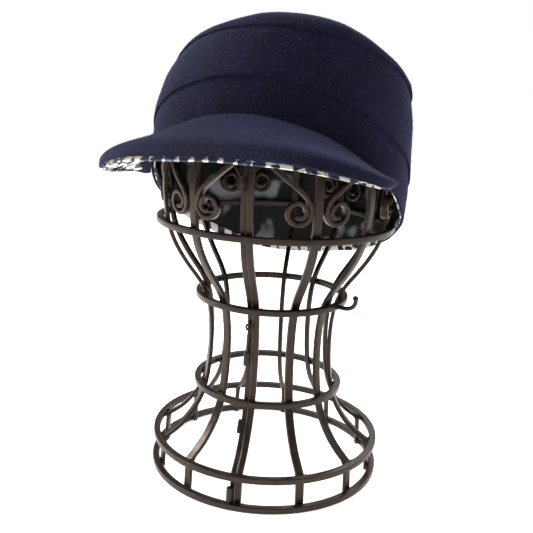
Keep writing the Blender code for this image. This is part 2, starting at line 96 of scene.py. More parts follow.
class Slot(Enum):
    """The record's material slots."""

    WOOL = "navy_wool"
    CHECK = "checked_cotton"
    LINING = "printed_lining"
    IRON = "bronzed_iron"


# Colours and shader nodes


def linear(hex_colour: str) -> tuple[float, float, float, float]:
    """Turn an sRGB hex colour into linear light.

    Args:
        hex_colour: Six hex digits.

    Returns:
        Linear red, green and blue, and an alpha of one.
    """
    parts = [int(hex_colour[i:i + 2], 16) / 255 for i in (0, 2, 4)]
    light = [c / 12.92 if c <= 0.04045 else ((c + 0.055) / 1.055) ** 2.4 for c in parts]
    return (light[0], light[1], light[2], 1.0)


def add(tree: bpy.types.NodeTree, kind: str, links: dict | None = None,
        sockets: dict | None = None, **settings) -> bpy.types.Node:
    """Add a shader node with its settings, socket values and incoming links.

    Args:
        tree: The material's node tree.
        kind: Blender's name for the node.
        links: Input socket name or number to the output socket that feeds it.
        sockets: Input socket name or number to its value.
        settings: The node's own properties.

    Returns:
        The new node.
    """
    made = tree.nodes.new(kind)
    for key, value in settings.items():
        setattr(made, key, value)
    for key, value in (sockets or {}).items():
        made.inputs[key].default_value = value
    for key, source in (links or {}).items():
        tree.links.new(source, made.inputs[key])
    return made


def ramp(tree: bpy.types.NodeTree, factor: bpy.types.NodeSocket,
         stops: list[tuple[float, str]]) -> bpy.types.NodeSocket:
    """Add a colour ramp from hex stops.

    Args:
        tree: The material's node tree.
        factor: The socket that drives the ramp.
        stops: Places from 0 to 1 and their hex colours, in order.

    Returns:
        The ramp's colour output.
    """
    made = add(tree, "ShaderNodeValToRGB", {"Fac": factor})
    elements = made.color_ramp.elements
    elements[0].position, elements[0].color = stops[0][0], linear(stops[0][1])
    elements[1].position, elements[1].color = stops[-1][0], linear(stops[-1][1])
    for place, colour in stops[1:-1]:
        elements.new(place).color = linear(colour)
    return made.outputs["Color"]


def grain(tree: bpy.types.NodeTree, where: bpy.types.NodeSocket, size_mm: float,
          **sockets) -> bpy.types.NodeSocket:
    """Add a noise texture.

    Args:
        tree: The material's node tree.
        where: The socket that gives the place.
        size_mm: How far apart its lumps lie.
        sockets: Values of its other sockets.

    Returns:
        The noise, from 0 to 1.
    """
    made = add(tree, "ShaderNodeTexNoise", {"Vector": where},
               {"Scale": 1 / (size_mm * MM), **sockets})
    return made.outputs["Fac"]


def relief(tree: bpy.types.NodeTree, shader: bpy.types.Node, height: bpy.types.NodeSocket,
           strength: float, depth_mm: float) -> None:
    """Give a shader a bump.

    Args:
        tree: The material's node tree.
        shader: Its Principled shader.
        height: The socket that gives the height.
        strength: The bump's strength.
        depth_mm: The bump's depth.
    """
    bump = add(tree, "ShaderNodeBump", {"Height": height},
               {"Strength": strength, "Distance": depth_mm * MM})
    tree.links.new(bump.outputs["Normal"], shader.inputs["Normal"])


def new_material(name: str, values: dict) -> tuple[
        bpy.types.Material, bpy.types.NodeTree, bpy.types.Node, bpy.types.NodeSocket]:
    """Make a node material.

    Args:
        name: The material's name.
        values: The shader's input names and their values, where these are uniform.

    Returns:
        The material, its node tree, its Principled shader and the socket that gives the place.
    """
    made = bpy.data.materials.new(name)
    made.use_nodes = True
    tree = made.node_tree
    shader = tree.nodes["Principled BSDF"]
    for key, value in values.items():
        shader.inputs[key].default_value = value
    return made, tree, shader, add(tree, "ShaderNodeTexCoord").outputs["Object"]


@dataclass(frozen=True)
class BrushedWool:
    """Wool melton, milled and brushed: a matt nap that goes pale where light grazes it."""

    name: str = "brushed wool melton"
    deep: str = "090916"
    body: str = "0e0f21"
    worn: str = "191a35"
    lint: str = "77738a"
    sheen: str = "8486c4"
    nap_mm: float = 1.1         # one clump of nap
    cloud_mm: float = 26.0      # patches brushed one way
    cloud_share: float = 0.28
    lint_gap_mm: float = 7.5    # from one speck of lint to the next

    def build(self) -> bpy.types.Material:
        """Build the material.

        Returns:
            The wool.
        """
        made, tree, shader, where = new_material(self.name, {
            "Sheen Weight": 0.20, "Sheen Roughness": 0.45, "Sheen Tint": linear(self.sheen),
            "Specular IOR Level": 0.12})
        nap = grain(tree, where, self.nap_mm, Detail=4.0, Roughness=0.62)
        cloud = grain(tree, where, self.cloud_mm, Detail=2.0)
        blend = add(tree, "ShaderNodeMix", {2: nap, 3: cloud}, {0: self.cloud_share})
        colour = ramp(tree, blend.outputs[0],
                      [(0.34, self.deep), (0.5, self.body), (0.68, self.worn)])
        specks = add(tree, "ShaderNodeTexVoronoi", {"Vector": where},
                     {"Scale": 1 / (self.lint_gap_mm * MM)})
        speck = add(tree, "ShaderNodeMapRange", {"Value": specks.outputs["Distance"]},
                    {"From Min": 0.055, "From Max": 0.03, "To Min": 0.0, "To Max": 0.4})
        mixed = add(tree, "ShaderNodeMix", {0: speck.outputs[0], 6: colour},
                    {7: linear(self.lint)}, data_type="RGBA")
        tree.links.new(mixed.outputs[2], shader.inputs["Base Color"])
        rough = add(tree, "ShaderNodeMapRange", {"Value": nap}, {"To Min": 0.86, "To Max": 1.0})
        tree.links.new(rough.outputs[0], shader.inputs["Roughness"])
        relief(tree, shader, nap, strength=0.8, depth_mm=0.6)
        return made


@dataclass(frozen=True)
class WoolFibre:
    """Loose ends of the nap: they soften the cap's outline."""

    name: str = "loose wool fibre"
    dim: str = "141423"
    pale: str = "343450"
    patch_mm: float = 2.4

    def build(self) -> bpy.types.Material:
        """Build the material.

        Returns:
            The fibre.
        """
        made, tree, shader, where = new_material(self.name, {
            "Roughness": 0.8, "Sheen Weight": 0.2})
        colour = ramp(tree, grain(tree, where, self.patch_mm),
                      [(0.42, self.dim), (0.72, self.pale)])
        tree.links.new(colour, shader.inputs["Base Color"])
        return made


@dataclass(frozen=True)
class CheckedCotton:
    """Brushed cotton woven in small dogtooth-like blocks: pale and indigo with fuzzy borders."""

    name: str = "brushed cotton check"
    pale: str = "e9e3d4"
    indigo: str = "161f3c"
    between: str = "7d88a2"
    block_mm: float = 6.6       # one block of colour
    block_turn: float = 45.0    # degrees
    block_squash: float = 0.45  # scale along Z, so that a block is as tall as the edge
    brush_mm: float = 0.65      # how far a block's border wanders
    wander_mm: float = 2.6      # from one such wander to the next
    tone_mm: float = 4.5        # patches where the two colours come nearer
    yarn_mm: float = 0.7        # drawn coarser than the real 0.4 so that it shows

    def build(self) -> bpy.types.Material:
        """Build the material.

        Returns:
            The checked cloth.
        """
        made, tree, shader, where = new_material(self.name, {
            "Roughness": 0.92, "Sheen Weight": 0.3, "Specular IOR Level": 0.15})
        wander = add(tree, "ShaderNodeTexNoise", {"Vector": where},
                     {"Scale": 1 / (self.wander_mm * MM), "Detail": 2.0})
        shift = add(tree, "ShaderNodeVectorMath", {0: wander.outputs["Color"]},
                    {1: (0.5, 0.5, 0.5)}, operation="SUBTRACT")
        reach = self.brush_mm * 4 * MM      # the noise mostly swings by a quarter
        small = add(tree, "ShaderNodeVectorMath", {0: shift.outputs[0]},
                    {1: (reach, reach, reach)}, operation="MULTIPLY")
        moved = add(tree, "ShaderNodeVectorMath", {0: where, 1: small.outputs[0]}, operation="ADD")
        turned = add(tree, "ShaderNodeMapping", {"Vector": moved.outputs[0]},
                     {"Rotation": (0.0, 0.0, math.radians(self.block_turn)),
                      "Scale": (1.0, 1.0, self.block_squash)})
        check = add(tree, "ShaderNodeTexChecker", {"Vector": turned.outputs[0]},
                    {"Scale": 1 / (self.block_mm * MM)})
        tone = grain(tree, where, self.tone_mm, Detail=2.0)
        light = ramp(tree, tone, [(0.30, self.between), (0.42, self.pale)])
        dark = ramp(tree, tone, [(0.56, self.indigo), (0.76, self.between)])
        woven = add(tree, "ShaderNodeMix", {0: check.outputs["Fac"], 6: light, 7: dark},
                    data_type="RGBA")
        tree.links.new(woven.outputs[2], shader.inputs["Base Color"])
        yarn = grain(tree, where, self.yarn_mm, Detail=3.0)
        relief(tree, shader, yarn, strength=0.6, depth_mm=0.35)
        return made


@dataclass(frozen=True)
class PrintedLining:
    """Smooth printed rayon twill: near black with soft pale shapes, a faint silky shine."""

    name: str = "printed rayon lining"
    ground: str = "050607"
    shade: str = "14171b"
    border: str = "45484b"
    pale: str = "86888a"
    blot_mm: float = 24.0       # from one pale shape to the next
    twill_mm: float = 6.4

    def build(self) -> bpy.types.Material:
        """Build the material.

        Returns:
            The lining.
        """
        made, tree, shader, where = new_material(self.name, {
            "Roughness": 0.6, "Specular IOR Level": 0.2})
        blots = grain(tree, where, self.blot_mm, Detail=1.5, Roughness=0.4)
        colour = ramp(tree, blots, [(0.555, self.ground), (0.575, self.shade),
                                    (0.59, self.border), (0.68, self.pale)])
        tree.links.new(colour, shader.inputs["Base Color"])
        twill = add(tree, "ShaderNodeTexWave", {"Vector": where},
                    {"Scale": 1 / (self.twill_mm * MM), "Distortion": 0.4},
                    bands_direction="DIAGONAL")
        relief(tree, shader, twill.outputs["Fac"], strength=0.15, depth_mm=0.1)
        return made


@dataclass(frozen=True)
class BronzedIron:
    """Bent iron bar under a dark bronze lacquer: satin, mottled, rubbed coppery along its edges."""

    name: str = "bronzed iron bar"
    dark: str = "0d0a09"
    body: str = "1f1713"
    rubbed: str = "6b5242"
    shine: str = "f2d9c6"       # the lacquer warms what it reflects
    mottle_mm: float = 7.0
    grain_mm: float = 0.9

    def build(self) -> bpy.types.Material:
        """Build the material.

        Returns:
            The lacquered iron.
        """
        made, tree, shader, where = new_material(self.name, {
            "Metallic": 0.3, "Specular Tint": linear(self.shine), "Coat Weight": 0.1,
            "Coat Roughness": 0.3})
        mottle = grain(tree, where, self.mottle_mm, Detail=5.0, Roughness=0.6)
        colour = ramp(tree, mottle, [(0.36, self.dark), (0.60, self.body)])
        edge = add(tree, "ShaderNodeAttribute", attribute_name=WEAR).outputs["Fac"]
        patch = add(tree, "ShaderNodeMath", {0: edge, 1: mottle}, operation="MULTIPLY")
        wear = add(tree, "ShaderNodeMapRange", {"Value": patch.outputs[0]},
                   {"From Min": 0.40, "From Max": 0.66, "To Min": 0.0, "To Max": 0.65})
        mixed = add(tree, "ShaderNodeMix", {0: wear.outputs[0], 6: colour},
                    {7: linear(self.rubbed)}, data_type="RGBA")
        tree.links.new(mixed.outputs[2], shader.inputs["Base Color"])
        rough = add(tree, "ShaderNodeMapRange", {"Value": mottle},
                    {"From Min": 0.3, "From Max": 0.7, "To Min": 0.27, "To Max": 0.46})
        tree.links.new(rough.outputs[0], shader.inputs["Roughness"])
        pits = grain(tree, where, self.grain_mm, Detail=3.0)
        relief(tree, shader, pits, strength=0.25, depth_mm=0.12)
        return made


@dataclass(frozen=True)
class PaleSweep:
    """Matt white paper sweep."""

    name: str = "white paper sweep"
    colour: str = "fbfbfc"
    white: str = "ffffff"
    patches: float = 3.0        # to the metre
    glow: float = 0.66          # keeps the far paper as white as a lit studio sweep

    def build(self) -> bpy.types.Material:
        """Build the material.

        Returns:
            The paper.
        """
        made, tree, shader, where = new_material(self.name, {
            "Roughness": 0.9, "Specular IOR Level": 0.1, "Emission Color": linear(self.white),
            "Emission Strength": self.glow})
        tone = add(tree, "ShaderNodeTexNoise", {"Vector": where}, {"Scale": self.patches})
        colour = ramp(tree, tone.outputs["Fac"], [(0.3, self.colour), (0.7, self.white)])
        tree.links.new(colour, shader.inputs["Base Color"])
        return made


# Mesh work


def placed(name: str, data: bpy.types.ID) -> bpy.types.Object:
    """Put new data into the scene.

    Args:
        name: The object's name.
        data: Its mesh, curve, lamp or camera.

    Returns:
        The object.
    """
    piece = bpy.data.objects.new(name, data)
    bpy.context.scene.collection.objects.link(piece)
    return piece


def primitive(make: Callable[..., set[str]], **settings) -> bpy.types.Object:
    """Add one of Blender's own meshes.

    Args:
        make: The operator that adds it.
        settings: The operator's settings.

    Returns:
        The object.
    """
    bpy.ops.object.select_all(action="DESELECT")
    make(**settings)
    return bpy.context.view_layer.objects.active


def middle_of(node: str) -> Vector:
    """Find the middle of a CAD node's box.

    Args:
        node: The CAD node.

    Returns:
        The middle.
    """
    low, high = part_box(node)
    return (low + high) / 2


def surface_of(node: str) -> BVHTree:
    """Prepare a CAD node's surface for finding the place on it that is nearest to a point.

    Args:
        node: The CAD node.

    Returns:
        The surface.
    """
    mesh = bpy.data.objects[node].data
    return BVHTree.FromPolygons([vertex.co for vertex in mesh.vertices],
                                [face.vertices for face in mesh.polygons])


def unique_points(node: str) -> list[Vector]:
    """List a CAD node's corners, each once.

    Args:
        node: The CAD node.

    Returns:
        The corners.
    """
    seen: dict[tuple[int, int, int], Vector] = {}
    for vertex in bpy.data.objects[node].data.vertices:
        key = tuple(round(c * POINT_STEPS) for c in vertex.co)
        seen.setdefault(key, vertex.co.copy())
    return list(seen.values())


def select_only(piece: bpy.types.Object) -> None:
    """Make one object active and the only one selected.

    Args:
        piece: The object.
    """
    bpy.ops.object.select_all(action="DESELECT")
    bpy.context.view_layer.objects.active = piece
    piece.select_set(True)


def finish_with(piece: bpy.types.Object, kind: str, **settings) -> None:
    """Add a modifier and apply it at once.

    Args:
        piece: The object.
        kind: Blender's name for the modifier.
        settings: The modifier's properties.
    """
    select_only(piece)
    made = piece.modifiers.new(kind.lower(), kind)
    for key, value in settings.items():
        setattr(made, key, value)
    bpy.ops.object.modifier_apply(modifier=made.name)


def copied(node: str, name: str) -> bpy.types.Object:
    """Copy a CAD node as a clean quad mesh.

    Args:
        node: The CAD node.
        name: The new piece's name.

    Returns:
        The copy, merged and turned back to quads.
    """
    mesh = bpy.data.objects[node].data.copy()
    mesh.name = name
    mesh.materials.clear()
    piece = placed(name, mesh)
    select_only(piece)
    bpy.ops.object.mode_set(mode="EDIT")
    bpy.ops.mesh.select_all(action="SELECT")
    bpy.ops.mesh.remove_doubles(threshold=0.00002)
    bpy.ops.mesh.normals_make_consistent(inside=False)
    bpy.ops.mesh.tris_convert_to_quads(face_threshold=math.radians(60),
                                       shape_threshold=math.radians(80))
    bpy.ops.object.mode_set(mode="OBJECT")
    if mesh.has_custom_normals:
        bpy.ops.mesh.customdata_custom_splitnormals_clear()
    return piece


def soften(piece: bpy.types.Object, levels: int) -> None:
    """Round a mesh with subdivision and shade it smooth.

    Args:
        piece: The object.
        levels: Subdivision levels.
    """
    finish_with(piece, "SUBSURF", levels=levels, render_levels=levels)
    piece.data.shade_smooth()


def sway(piece: bpy.types.Object, slack: Slack) -> None:
    """Move a cloth by smooth noise, both of its sides alike.

    Args:
        piece: The object.
        slack: Wavelength and height of each noise.
    """
    start = Vector((CLOTH_SEED, CLOTH_SEED, CLOTH_SEED))
    for vertex in piece.data.vertices:
        step = Vector((0.0, 0.0, 0.0))
        for wavelength, height in slack:
            step += noise.noise_vector(vertex.co / wavelength + start) * height
        vertex.co += step


def joined(pieces: list[bpy.types.Object], name: str) -> bpy.types.Object:
    """Join several objects into one.

    Args:
        pieces: The objects.
        name: The joined object's name.

    Returns:
        The joined object.
    """
    bpy.ops.object.select_all(action="DESELECT")
    for piece in pieces:
        piece.select_set(True)
    bpy.context.view_layer.objects.active = pieces[0]
    if len(pieces) > 1:
        bpy.ops.object.join()
    pieces[0].name = name
    pieces[0].data.name = name
    return pieces[0]


def dress(piece: bpy.types.Object, material: bpy.types.Material,
          nodes: tuple[str, ...] = ()) -> bpy.types.Object:
    """Give a finished piece its material, body and CAD nodes.

    Args:
        piece: The object.
        material: Its material.
        nodes: The CAD nodes that it stands for.

    Returns:
        The same object.
    """
    piece.data.materials.clear()
    piece.data.materials.append(material)
    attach(piece, BODY)
    if nodes:
        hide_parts(*nodes)
    LOG.info("%s: %d faces", piece.name, len(piece.data.polygons))
    return piece


def tube(name: str, points: list[Vector], radii: list[float]) -> bpy.types.Object:
    """Sweep a round section along points and make it a mesh.

    Args:
        name: The piece's name.
        points: The path.
        radii: The section's radius at each point.

    Returns:
        The mesh tube.
    """
    curve = bpy.data.curves.new(name, "CURVE")
    curve.dimensions = "3D"
    curve.bevel_depth = 1.0
    curve.bevel_resolution = 3
    curve.use_fill_caps = True
    curve.resolution_u = 3
    line = curve.splines.new("NURBS")
    line.points.add(len(points) - 1)
    for knot, point, radius in zip(line.points, points, radii):
        knot.co = (*point, 1.0)
        knot.radius = radius
    line.use_endpoint_u = True
    line.order_u = 4
    select_only(placed(name, curve))
    bpy.ops.object.convert(target="MESH")
    piece = bpy.context.view_layer.objects.active
    piece.name = name
    piece.data.shade_smooth()
    return piece


# Cap


def cloth(node: str, name: str, slack: Slack,
          rolls: tuple["Roll | Sag", ...] = ()) -> bpy.types.Object:
    """Copy a CAD cloth, ease its rims, roll its seams and give it slack.

    Args:
        node: The CAD node.
        name: The new piece's name.
        slack: Wavelength and height of each noise that moves it.
        rolls: The seams that it rolls at and the place where it sags.

    Returns:
        The cloth.
    """
    piece = copied(node, name)
    finish_with(piece, "BEVEL", width=RIM_EASE, segments=2, limit_method="ANGLE",
                angle_limit=math.radians(RIM_ANGLE), use_clamp_overlap=True)
    soften(piece, CLOTH_LEVELS)
    for roll in rolls:
        roll.apply(piece)
    sway(piece, slack)
    return piece


@dataclass(frozen=True)
class Roll:
    """A seam where one cloth is rolled out or pulled in along its neighbour."""

    neighbour: str
    out: float                  # push away from the cap's middle, negative pulls in
    reach: float                # how far from the seam the push fades
    lap: float = 0.0            # how far the edge is drawn over the neighbour
    lap_reach: float = 0.003    # how far from the seam that fades
    least: float = 0.01         # share of the push that is still worth a move

    def apply(self, piece: bpy.types.Object) -> None:
        """Move the points that lie near the neighbour.

        Args:
            piece: The cloth.
        """
        tree = surface_of(self.neighbour)
        middle = middle_of("crown_side")
        for vertex in piece.data.vertices:
            seam, _, _, gap = tree.find_nearest(vertex.co)
            fade = math.exp(-(gap / self.reach) ** 2)
            if fade > self.least:
                away = Vector((vertex.co.x - middle.x, vertex.co.y - middle.y, 0.0)).normalized()
                over = (seam - vertex.co).normalized() * self.lap
                over *= math.exp(-(gap / self.lap_reach) ** 2)
                vertex.co += away * self.out * fade + over


@dataclass(frozen=True)
class Sag:
    """The place at the back where the soft rim hangs a little lower than its even line."""

    degrees: float = 232.0      # from the front towards the wearer's left
    half_width: float = 48.0    # degrees
    depth: float = 0.0045
    reach: float = 0.020        # how far above the rim it fades

    def apply(self, piece: bpy.types.Object) -> None:
        """Let the rim down.

        Args:
            piece: The cloth.
        """
        tree = surface_of("rim_facing")
        middle = middle_of("crown_side")
        for vertex in piece.data.vertices:
            turn = math.degrees(math.atan2(vertex.co.x - middle.x, middle.y - vertex.co.y))
            turn %= FULL_TURN
            gap = tree.find_nearest(vertex.co)[3]
            off = (turn - self.degrees) / self.half_width
            vertex.co.z -= self.depth * math.exp(-off ** 2 - (gap / self.reach) ** 2)


SAG = Sag()


@dataclass
class Crown:
    """The wool shells: the rolled top, the upper tier and the band."""

    material: bpy.types.Material

    def build(self) -> list[bpy.types.Object]:
        """Build and dress the shells.

        Returns:
            The pieces.
        """
        rolls = {
            "crown_top": (Roll("crown_side", out=0.0012, reach=0.006, lap=0.0013),),
            "crown_side": (Roll("crown_top", out=-0.0006, reach=0.005),
                           Roll("band", out=0.0013, reach=0.010, lap=0.0014)),
            "band": (Roll("crown_side", out=-0.0004, reach=0.006), SAG),
        }
        return [dress(cloth(node, node + "_wool", WOOL_SLACK, seams), self.material,
                      (node,)) for node, seams in rolls.items()]


@dataclass
class Peak:
    """The stiff peak, its checked facing and the puffed roll along its edge."""

    wool: bpy.types.Material
    check: bpy.types.Material
    near: float = 3.4 * MM          # an edge point has no other point within this ...
    lower: float = 1.0 * MM         # ... that is lower by more than this
    merge: float = 3.0 * MM         # edge points closer than this become one
    roll_radius: float = 0.0022
    roll_end: float = 0.5           # share of that radius at both ends
    corner_cloth: float = 0.0004
    corner_start: float = 0.006     # from the band's cloth
    below: float = 0.01             # of the point that the underside looks towards
    facing_limit: float = -0.004    # how far a face must look that way

    def edge(self) -> list[Vector]:
        """Find the facing's free edge.

        Returns:
            Points along it, from one corner to the other.
        """
        points = unique_points("peak_under")
        edge = [p for p in points if not any(
            (q - p).length < self.near and q.z < p.z - self.lower for q in points)]
        low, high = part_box("peak_under")
        centre = Vector(((low.x + high.x) / 2, high.y, 0.0))
        edge.sort(key=lambda p: math.atan2(p.x - centre.x, -(p.y - centre.y)))
        merged: list[Vector] = []
        for point in edge:
            if merged and (merged[-1] - point).length < self.merge:
                merged[-1] = (merged[-1] + point) / 2
            else:
                merged.append(point.copy())
        return merged

    def roll(self) -> bpy.types.Object:
        """Puff up the facing's cloth along the free edge.

        Returns:
            The roll.
        """
        path = self.edge()
        radii = [self.roll_radius] * len(path)
        radii[0] = radii[-1] = self.roll_radius * self.roll_end
        piece = tube("peak_edge_roll", path, radii)
        soften(piece, 1)
        sway(piece, EDGE_SLACK)
        return piece

    def corners(self) -> bpy.types.Object:
        """Face the underside of the peak's wool out to its corners, where the CAD facing stops.

        Returns:
            A thin cloth just under the wool.
        """
        piece = copied("peak_top", "peak_corner_facing")
        low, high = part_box("peak_top")
        inside = Vector(((low.x + high.x) / 2, high.y, low.z - self.below))
        band = surface_of("band")
        work = bmesh.new()
        work.from_mesh(piece.data)
        spare = [face for face in work.faces
                 if face.normal.dot(face.calc_center_median() - inside) > self.facing_limit
                 or min(band.find_nearest(v.co)[3] for v in face.verts) < self.corner_start]
        bmesh.ops.delete(work, geom=spare, context="FACES")
        work.to_mesh(piece.data)
        work.free()
        finish_with(piece, "SOLIDIFY", thickness=self.corner_cloth, offset=1.0)
        soften(piece, CLOTH_LEVELS)
        sway(piece, PEAK_SLACK)
        return piece

    def build(self) -> list[bpy.types.Object]:
        """Build and dress the peak.

        Returns:
            The pieces, the wool first.
        """
        top = cloth("peak_top", "peak_wool", PEAK_SLACK)
        under = cloth("peak_under", "peak_facing", PEAK_SLACK)
        roll = self.roll()
        return [
            dress(top, self.wool, ("peak_top",)),
            dress(under, self.check, ("peak_under",)),
            dress(roll, self.check),
            dress(self.corners(), self.check),
        ]


@dataclass
class Inside:
    """The checked rim facing and the printed lining."""

    check: bpy.types.Material
    lining: bpy.types.Material

    def build(self) -> list[bpy.types.Object]:
        """Build and dress the inner cloths.

        Returns:
            The pieces.
        """
        facing = cloth("rim_facing", "rim_facing_cloth", WOOL_SLACK, (SAG,))
        lining = cloth("lining", "lining_cloth", LINING_SLACK, (SAG,))
        return [
            dress(facing, self.check, ("rim_facing",)),
            dress(lining, self.lining, ("lining",)),
        ]


@dataclass
class Nap:
    """Short loose fibres over the wool's outer side."""

    material: bpy.types.Material
    count: int = 34000
    length: tuple[float, float] = (0.0008, 0.0026)
    width: float = 0.00010
    lift: tuple[float, float] = (0.12, 0.75)        # from lying flat to half upright
    tip_reach: tuple[float, float] = (0.3, 1.0)     # of the outer half, along the cloth
    tip_lift: float = 0.4
    taper: float = 0.8
    upwards: float = 0.03       # how much a face that looks up counts as an outer one
    seed: int = 7

    def build(self, shells: list[bpy.types.Object]) -> bpy.types.Object:
        """Grow the fibres on the shells' outer faces.

        Args:
            shells: The wool pieces.

        Returns:
            The fibres, as one piece of thin bent strips.
        """
        rng = random.Random(self.seed)
        low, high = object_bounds()
        middle = Vector(((low[0] + high[0]) / 2, (low[1] + high[1]) / 2, 0.0))
        spots = []
        for shell in shells:
            for face in shell.data.polygons:
                outwards = Vector((face.center.x - middle.x, face.center.y - middle.y,
                                   self.upwards))
                if face.normal.dot(outwards) > 0.0:
                    corners = [shell.data.vertices[i].co for i in face.vertices]
                    spots.append((face.area, corners, face.normal.copy()))
        total = sum(area for area, _, _ in spots)
        points: list[Vector] = []
        faces: list[tuple[int, ...]] = []
        for area, corners, normal in spots:
            share = self.count * area / total
            amount = int(share) + (1 if rng.random() < share - int(share) else 0)
            for _ in range(amount):
                self.fibre(rng, corners, normal, points, faces)
        mesh = bpy.data.meshes.new("wool_nap")
        mesh.from_pydata(points, [], faces)
        mesh.shade_smooth()
        return dress(placed("wool_nap", mesh), self.material)

    def fibre(self, rng: random.Random, corners: list[Vector], normal: Vector,
              points: list[Vector], faces: list[tuple[int, ...]]) -> None:
        """Add one bent strip.

        Args:
            rng: The seeded source of chance.
            corners: The corners of the face that it grows on.
            normal: That face's normal.
            points: The mesh's points so far.
            faces: The mesh's faces so far.
        """
        u, v = rng.random(), rng.random()
        root = corners[0].lerp(corners[1], u).lerp(corners[-1].lerp(corners[2], u), v)
        along = normal.orthogonal().normalized()
        along = Matrix.Rotation(rng.uniform(0, math.tau), 3, normal) @ along
        across = normal.cross(along) * self.width / 2
        length = rng.uniform(*self.length)
        lift = rng.uniform(*self.lift)
        middle = root + (along + normal * lift) * length * 0.5
        outer = along * rng.uniform(*self.tip_reach) + normal * lift * self.tip_lift
        tip = middle + outer * length * 0.5
        first = len(points)
        points.extend([root - across, root + across, middle + across * self.taper,
                       middle - across * self.taper, tip])
        faces.append((first, first + 1, first + 2, first + 3))
        faces.append((first + 3, first + 2, first + 4))


# Stand


